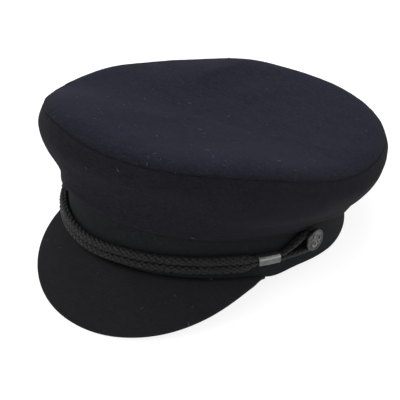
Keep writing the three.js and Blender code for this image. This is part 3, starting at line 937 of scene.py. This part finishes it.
cord_marks = np.linspace(-button_angle, button_angle, strand_steps)
cord_stations = [strand_station(angle, 1) for angle in cord_marks] + loop_stations(1)
cord_stations += [strand_station(angle, -1) for angle in cord_marks[::-1]] + loop_stations(-1)
cord_angles = np.array([station["angle"] for station in cord_stations])
cord_line = band_point(
    cord_angles, np.array([station["out"] for station in cord_stations]),
    lift_at(cord_angles) + np.array([station["up"] for station in cord_stations]),
)
cord_along = np.roll(cord_line, -1, axis=0) - np.roll(cord_line, 1, axis=0)
cord_along /= np.linalg.norm(cord_along, axis=-1, keepdims=True)
cord_outward = band_normal(cord_angles)
cord_outward -= cord_along * (cord_outward * cord_along).sum(axis=-1, keepdims=True)
cord_outward /= np.linalg.norm(cord_outward, axis=-1, keepdims=True)
cord_across = np.cross(cord_along, cord_outward)
cord_deep = np.array([station["deep"] for station in cord_stations]) / 2
cord_tall = np.array([station["tall"] for station in cord_stations]) / 2


def braid_tree():
    tree, entry, leave = new_group("braid", "GeometryNodeTree", {
        "Geometry": "Geometry", "Yarns": "Int", "Way": "Float", "Turns": "Float", "Points": "Int",
        "Yarn width": "Float", "Yarn depth": "Float", "Weave": "Float", "Material": "Material",
    }, {"Geometry": "Geometry"})
    maths = maths_in(tree)

    def stored(name, kind):
        node = add_node(tree, "GeometryNodeInputNamedAttribute", {"Name": name}, data_type=kind)
        return node.outputs["Attribute"]

    def scaled(vector, factor):
        node = add_node(tree, "ShaderNodeVectorMath", operation="SCALE")
        tree.links.new(vector, node.inputs[0])
        tree.links.new(factor, node.inputs["Scale"])
        return node.outputs[0]

    def added(first, second):
        node = add_node(tree, "ShaderNodeVectorMath", operation="ADD")
        tree.links.new(first, node.inputs[0])
        tree.links.new(second, node.inputs[1])
        return node.outputs[0]

    path = add_node(tree, "GeometryNodeMeshToCurve")
    join(tree, entry, "Geometry", path, "Mesh")
    even = add_node(tree, "GeometryNodeResampleCurve")
    join(tree, path, "Curve", even, "Curve")
    join(tree, entry, "Points", even, "Count")
    copies = add_node(tree, "GeometryNodeDuplicateElements", domain="SPLINE")
    join(tree, even, "Curve", copies, "Geometry")
    join(tree, entry, "Yarns", copies, "Amount")
    number = add_node(
        tree, "GeometryNodeStoreNamedAttribute", {"Name": "yarn"}, data_type="FLOAT", domain="CURVE",
    )
    join(tree, copies, "Geometry", number, "Geometry")
    join(tree, copies, "Duplicate Index", number, "Value")
    parameter = add_node(tree, "GeometryNodeSplineParameter")
    yarns = entry.outputs["Yarns"]
    way = entry.outputs["Way"]
    start = maths("DIVIDE", maths("MULTIPLY", stored("yarn", "FLOAT"), 2 * math.pi), yarns)
    turned = maths("MULTIPLY", parameter.outputs["Factor"], entry.outputs["Turns"])
    sweep = maths("MULTIPLY", turned, 2 * math.pi)
    angle = maths("ADD", maths("MULTIPLY", way, sweep), start)
    crossing = maths("MULTIPLY", way, maths("COSINE", maths("MULTIPLY", sweep, yarns)))
    weave = maths("MULTIPLY", crossing, entry.outputs["Weave"])
    out = scaled(stored("outward", "FLOAT_VECTOR"), maths("COSINE", angle))
    side = scaled(stored("across", "FLOAT_VECTOR"), maths("SINE", angle))
    inset = maths("ADD", weave, maths("MULTIPLY", entry.outputs["Yarn depth"], -1))
    deep = maths("ADD", stored("deep", "FLOAT"), inset)
    tall = maths("ADD", stored("tall", "FLOAT"), inset)
    radial = added(out, side)
    offset = added(scaled(out, deep), scaled(side, tall))
    laid = add_node(tree, "GeometryNodeSetPosition")
    join(tree, number, "Geometry", laid, "Geometry")
    tree.links.new(offset, laid.inputs["Offset"])
    facing = add_node(tree, "GeometryNodeSetCurveNormal", mode="FREE")
    join(tree, laid, "Geometry", facing, "Curve")
    tree.links.new(radial, facing.inputs["Normal"])
    section = add_node(tree, "GeometryNodeCurvePrimitiveCircle", {"Resolution": 6, "Radius": 1})
    flat = add_node(tree, "GeometryNodeTransform")
    size = add_node(tree, "ShaderNodeCombineXYZ", {"Z": 1})
    tree.links.new(entry.outputs["Yarn depth"], size.inputs["X"])
    tree.links.new(entry.outputs["Yarn width"], size.inputs["Y"])
    join(tree, section, "Curve", flat, "Geometry")
    join(tree, size, "Vector", flat, "Scale")
    tubes = add_node(tree, "GeometryNodeCurveToMesh")
    join(tree, facing, "Curve", tubes, "Curve")
    join(tree, flat, "Geometry", tubes, "Profile Curve")
    real = add_node(tree, "GeometryNodeRealizeInstances")
    join(tree, tubes, "Mesh", real, "Geometry")
    coloured = add_node(tree, "GeometryNodeSetMaterial")
    join(tree, real, "Geometry", coloured, "Geometry")
    join(tree, entry, "Material", coloured, "Material")
    join(tree, coloured, "Geometry", leave, "Geometry")
    return tree


cord_yarn, yarn_tree, yarn_shader = new_material("cord_yarn")
yarn_place = add_node(yarn_tree, "ShaderNodeTexCoord")
yarn_grain = add_node(yarn_tree, "ShaderNodeTexNoise", {"Scale": 900, "Detail": 5, "Roughness": 0.75})
yarn_tint = two_tones(yarn_tree, yarn_grain, {0.4: (0.004, 0.004, 0.0042), 0.72: (0.021, 0.021, 0.0206)})
yarn_bump = add_node(yarn_tree, "ShaderNodeBump", {"Strength": 0.6, "Distance": 0.0003})
join(yarn_tree, yarn_place, "Object", yarn_grain, "Vector")
join(yarn_tree, yarn_grain, "Fac", yarn_bump, "Height")
join(yarn_tree, yarn_tint, "Color", yarn_shader, "Base Color")
join(yarn_tree, yarn_bump, "Normal", yarn_shader, "Normal")
yarn_shader.inputs["Roughness"].default_value = 0.6
yarn_shader.inputs["Specular IOR Level"].default_value = 0.2
yarn_shader.inputs["Sheen Weight"].default_value = 0.02
yarn_shader.inputs["Sheen Roughness"].default_value = 0.4

cord_path = bpy.data.meshes.new("cord_path")
cord_count = len(cord_line)
cord_path.from_pydata(
    (cord_line / 1000 + cap_middle).tolist(),
    [(index, (index + 1) % cord_count) for index in range(cord_count)], [],
)
for name, kind, values in (
    ("outward", "FLOAT_VECTOR", cord_outward), ("across", "FLOAT_VECTOR", cord_across),
    ("deep", "FLOAT", cord_deep / 1000), ("tall", "FLOAT", cord_tall / 1000),
):
    attribute = cord_path.attributes.new(name, kind, "POINT")
    field = "vector" if kind == "FLOAT_VECTOR" else "value"
    attribute.data.foreach_set(field, values.astype(np.float32).ravel())
braid = braid_tree()
for way, name in ((1.0, "cord_braid_left_laid"), (-1.0, "cord_braid_right_laid")):
    yarns = grown(cord_path, braid, {
        "Yarns": braid_yarns, "Way": way, "Turns": braid_turns, "Points": braid_points,
        "Yarn width": yarn_width, "Yarn depth": yarn_depth, "Weave": yarn_weave, "Material": cord_yarn,
    }, name)
    place_piece(name, yarns, ["cord"])

core_turns = np.radians(np.arange(core_sides) * 360 / core_sides)
core_points = cord_line[:, None] + (
    cord_outward[:, None] * (cord_deep[:, None, None] - core_inset) * np.cos(core_turns)[None, :, None]
    + cord_across[:, None] * (cord_tall[:, None, None] - core_inset) * np.sin(core_turns)[None, :, None]
)
cord_core = wool_material("cord_core", (0.01, 0.01, 0.01), (0.03, 0.03, 0.03), 0.3, 0.2, 0)
add_piece(
    "cord_core", core_points.reshape(-1, 3), grid_faces(cord_count, core_sides, True),
    cord_core, ["cord"],
)


# ---- Sliders
# A flattened tube of pewter-coloured sheet metal on each side, closed round both strands.
# Pressing it shut leaves a lengthwise ridge along its outer face, which carries a painted highlight; the
# inside is coloured darker than the outer face.
ridge_height = 0.3
ridge_width = 0.45
ridge_up = 1.5
slider_sides = 72
slider_bluntness = 0.6
slider_lip_start = 0.97


def pewter_surface():
    group, entry, leave = new_group("pewter_surface", "ShaderNodeTree", {
        "Bright": "Color", "Dark": "Color", "Patina and highlight": "Float",
    }, surface_outputs)
    place = add_node(group, "ShaderNodeTexCoord")
    cloud = add_node(group, "ShaderNodeTexNoise", {"Scale": 420, "Detail": 4, "Roughness": 0.65})
    scratches = add_node(group, "ShaderNodeTexNoise", {"Scale": 2600, "Detail": 2})
    join(group, place, "Object", cloud, "Vector")
    join(group, place, "Object", scratches, "Vector")
    # Tarnish darkens the colour; the sliders' ridges get negative values, a painted highlight that keeps
    # them bright.
    tarnish_and_highlight = add_node(group, "ShaderNodeMath", operation="MULTIPLY_ADD", use_clamp=True)
    tarnish_and_highlight.inputs[1].default_value = 0.7
    join(group, cloud, "Fac", tarnish_and_highlight, 0)
    join(group, entry, "Patina and highlight", tarnish_and_highlight, 2)
    tone = add_node(group, "ShaderNodeMix", data_type="RGBA")
    join(group, tarnish_and_highlight, "Value", tone, "Factor")
    group.links.new(entry.outputs["Bright"], tone.inputs[6])
    group.links.new(entry.outputs["Dark"], tone.inputs[7])
    group.links.new(tone.outputs[2], leave.inputs["Colour"])
    rough = add_node(group, "ShaderNodeMath", operation="MULTIPLY_ADD")
    rough.inputs[1].default_value = 0.3
    rough.inputs[2].default_value = 0.28
    join(group, tarnish_and_highlight, "Value", rough, 0)
    join(group, rough, "Value", leave, "Roughness")
    bump = add_node(group, "ShaderNodeBump", {"Strength": 0.25, "Distance": 0.0001})
    join(group, scratches, "Fac", bump, "Height")
    join(group, bump, "Normal", leave, "Normal")
    return group


pewter_group = pewter_surface()


def pewter_material(name, bright, dark):
    material, tree, shader = new_material(name)
    metal = add_node(tree, "ShaderNodeGroup", node_tree=pewter_group)
    metal.inputs["Bright"].default_value = (*bright, 1)
    metal.inputs["Dark"].default_value = (*dark, 1)
    patina_and_highlight = add_node(tree, "ShaderNodeAttribute", attribute_name="patina_and_highlight")
    join(tree, patina_and_highlight, "Fac", metal, "Patina and highlight")
    join(tree, metal, "Colour", shader, "Base Color")
    join(tree, metal, "Roughness", shader, "Roughness")
    join(tree, metal, "Normal", shader, "Normal")
    shader.inputs["Metallic"].default_value = 1
    return material


def slider_loops(side):
    half_tall = squeezed_height + clearance * 1.5
    half_deep = squeezed_depth / 2 + clearance
    turns = np.radians((np.arange(slider_sides) + 0.5) * 360 / slider_sides)
    bent = [np.sign(v) * np.abs(v) ** slider_bluntness for v in (np.cos(turns), np.sin(turns))]
    ridge_share = bell((half_tall * bent[1] - ridge_up) / ridge_width) * (bent[0] > 0)

    def ring(step, grow):
        angle = np.array(side * slider_angle + step * slider_half_angle)
        outward = band_normal(angle)
        centre = band_point(angle, clearance + slider_wall + half_deep, lift_at(angle) + slider_up)
        up = (half_tall + grow) * bent[1]
        out = (half_deep + grow) * bent[0] + ridge_height * ridge_share
        return centre + out[:, None] * outward + up[:, None] * np.array([0, 0, 1])

    outer = [(step, slider_wall) for step in np.linspace(-slider_lip_start, slider_lip_start, 25)]
    lip = [(1, slider_wall * 0.75), (1, slider_wall * 0.2)]
    hollow = [(step, 0) for step in np.linspace(slider_lip_start, -slider_lip_start, 9)]
    other_lip = [(-1, slider_wall * 0.2), (-1, slider_wall * 0.75)]
    rings = outer + lip + hollow + other_lip
    # Painted highlight: the ridge's tarnish value is pushed below zero, so its colour is brighter; the
    # inside gets more tarnish than the outer face.
    nap_wear_and_ridge_highlight = [0.35 - 0.75 * ridge_share if grow else np.full(len(turns), 0.6) for step, grow in rings]
    return np.array([ring(step, grow) for step, grow in rings]), np.array(nap_wear_and_ridge_highlight)


slider_metal = pewter_material("slider_pewter", (0.27, 0.28, 0.27), (0.06, 0.063, 0.06))
for side, name in ((1, "left"), (-1, "right")):
    loops, nap_wear_and_ridge_highlight = slider_loops(side)
    slider = add_piece(
        f"slider_sleeve_{name}", loops.reshape(-1, 3),
        [face[::-1] for face in grid_faces(len(loops), loops.shape[1], True)],
        slider_metal, [f"slider_{name}"],
    )
    store_share(slider.data, "patina_and_highlight", nap_wear_and_ridge_highlight.ravel())


# ---- Buttons
# A round cast pewter button on each side, with a roped rim and a plain anchor in relief.
# Its shank goes through the loop of the cord and is sewn to the band.
button_up = 21.3
button_diameter = 15
button_shank_diameter = 3
button_disc_depth = 2.6
button_rim_width = 1.3
button_rim_height = 0.6
button_sides = 160
rim_inset = 0.3
dish_depth = 0.35
relief_height = 0.55
relief_slope = 0.45
pit_size = 0.9
pit_depth = 0.16
rope_twists = 40
rope_depth = 0.13
rope_slant = 3.2
anchor_tilt = 14
anchor_arm_radius = 4.1


def near_line(x, y, start, end, thick):
    start, end = np.array(start, float), np.array(end, float)
    along = end - start
    share = np.clip(((x - start[0]) * along[0] + (y - start[1]) * along[1]) / (along @ along), 0, 1)
    gap = np.hypot(x - start[0] - share * along[0], y - start[1] - share * along[1])
    return smooth((thick - gap) / relief_slope + 0.5)


def anchor_relief(x, y):
    tilt = math.radians(anchor_tilt)
    x, y = x * math.cos(tilt) + y * math.sin(tilt), y * math.cos(tilt) - x * math.sin(tilt)
    shank = near_line(x, y, (0, 3), (0, -4.4), 0.55)
    stock = near_line(x, y, (-2.6, 2.1), (2.6, 2.1), 0.5)
    ring = smooth((0.45 - np.abs(np.hypot(x, y - 4.1) - 1)) / relief_slope + 0.5)
    bow = np.abs(np.hypot(x, y + 0.4) - anchor_arm_radius) + 10 * (y > -1.6)
    arms = smooth((0.55 - bow) / relief_slope + 0.5)
    flukes = np.maximum(
        near_line(x, y, (-4.7, -1.4), (-2.9, -2), 0.5), near_line(x, y, (4.7, -1.4), (2.9, -2), 0.5),
    )
    return np.max([shank, stock, ring, arms, flukes], axis=0)


def button_parts(side):
    disc_back = clearance + cord_diameter + 0.9
    face = disc_back + button_disc_depth
    radius = button_diameter / 2
    shank = button_shank_diameter / 2
    angle = np.array(side * button_angle)
    outward = band_normal(angle)
    across = np.cross([0, 0, 1], outward)
    base = band_point(angle, 0, lift_at(angle) + button_up)
    turns = np.radians(np.arange(button_sides) * 360 / button_sides)
    rows = [
        (shank, clearance), (shank, disc_back - 0.6), (shank + 0.5, disc_back), (radius * 0.8, disc_back),
    ]
    for turn in np.radians([30, 60, 80, 90]):
        level = disc_back + button_disc_depth * 0.45 * (1 - math.cos(turn))
        rows.append((radius * (0.8 + 0.2 * math.sin(turn)), level))
    rows.append((radius, face - button_rim_height))
    rim_start = len(rows)
    half_rim = button_rim_width / 2
    rim_middle = radius - half_rim
    for turn in np.radians(np.linspace(20, 160, 8)):
        level = face - rim_inset + button_rim_height * math.sin(turn)
        rows.append((rim_middle + half_rim * math.cos(turn), level))
    face_start = len(rows)
    rows += [(r, face) for r in np.linspace(radius - button_rim_width - 0.15, 0.15, 40)]
    # On the buttons the attribute holds only tarnish, darker in the rope's troughs and on the lower parts
    # of the face.
    loops, patina_and_highlight = [], []
    for row, (r, out) in enumerate(rows):
        x, y = r * np.cos(turns), r * np.sin(turns)
        raised = np.zeros(len(turns))
        dark = np.zeros(len(turns))
        if rim_start <= row < face_start:
            twist = np.cos(rope_twists * turns + (r - rim_middle) * rope_slant)
            raised = rope_depth * twist
            dark = 0.4 - 0.3 * twist
        if row >= face_start:
            dish = dish_depth * (1 - 0.3 * (r / radius) ** 2)
            raised = relief_height * anchor_relief(side * x, y) - dish
            pitted = soft_noise(np.stack([x, y, 0 * x], -1), pit_size, 9)
            raised = raised + pit_depth * pitted
            dark = 0.16 - raised * 0.8 - pitted * 0.7
        level = (out + raised)[:, None]
        loops.append(base + outward * level + across * x[:, None] + np.array([0, 0, 1]) * y[:, None])
        patina_and_highlight.append(dark)
    tips = [base + outward * clearance, loops[-1].mean(axis=0)]
    return np.array(loops), np.array(patina_and_highlight), tips


button_metal = pewter_material("button_pewter", (0.18, 0.18, 0.176), (0.04, 0.04, 0.04))
for side, name in ((1, "left"), (-1, "right")):
    loops, patina_and_highlight, tips = button_parts(side)
    points = np.concatenate([loops.reshape(-1, 3), tips])
    button = add_piece(
        f"button_cast_{name}", points, tipped_faces(*loops.shape[:2]),
        button_metal, [f"button_{name}"],
    )
    store_share(button.data, "patina_and_highlight", [*patina_and_highlight.ravel(), 0, patina_and_highlight[-1].mean()])
